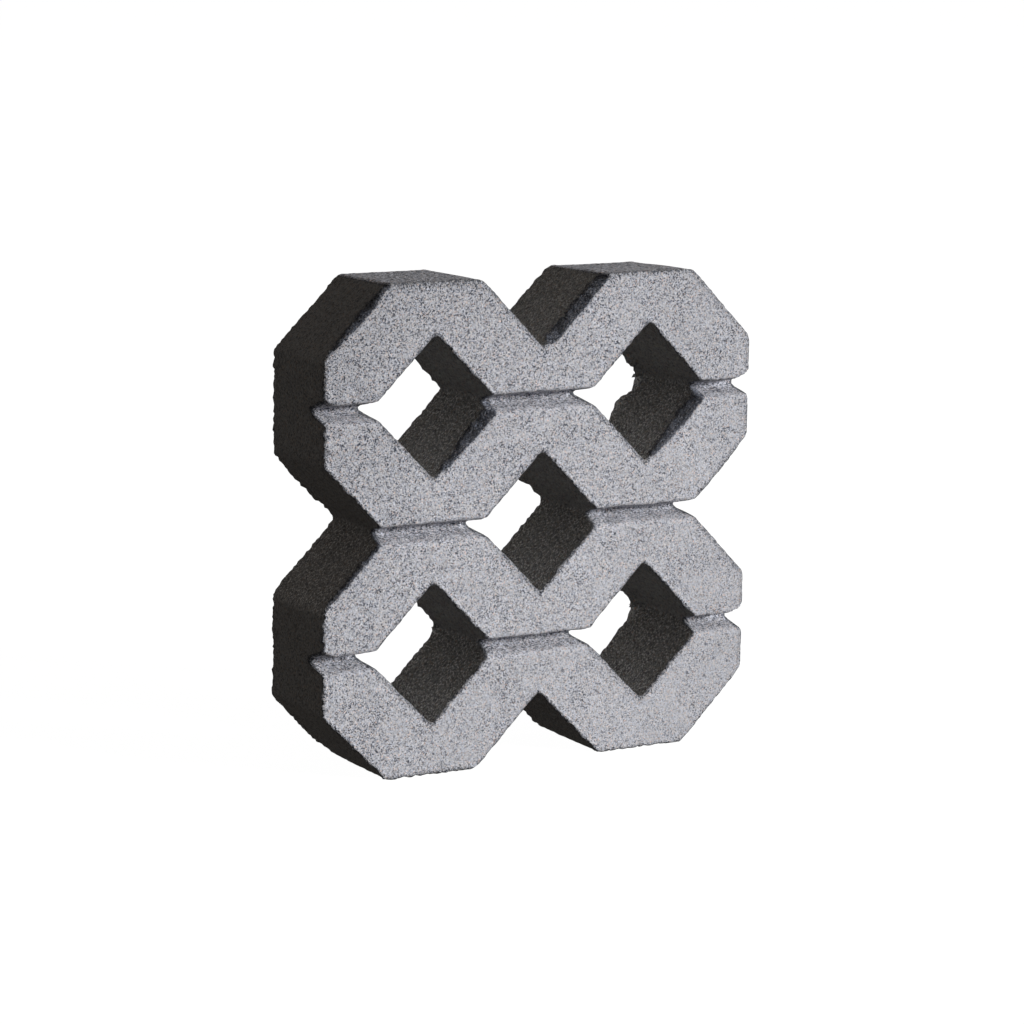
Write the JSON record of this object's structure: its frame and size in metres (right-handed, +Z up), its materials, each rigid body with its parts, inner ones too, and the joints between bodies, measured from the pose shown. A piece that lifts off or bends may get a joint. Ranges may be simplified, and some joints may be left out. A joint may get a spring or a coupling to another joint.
{
  "type": "grass paver block",
  "caption": "Concrete grass paver: a lattice of octagonal cells with diamond through openings for turf, and V-grooves across the joints of its wearing face.",
  "frame": {"origin": "middle of the footprint, on the floor under the standing block", "axes": "+Z up the standing block, +X across it, the grooved wearing face towards -Y and the bedding face towards +Y"},
  "size_m": [0.4, 0.09, 0.4],
  "materials": {
    "concrete": "rough cast, light grey with dark grains"
  },
  "bodies": {
    "root": {"paver_block": "concrete"}
  },
  "joints": []
}
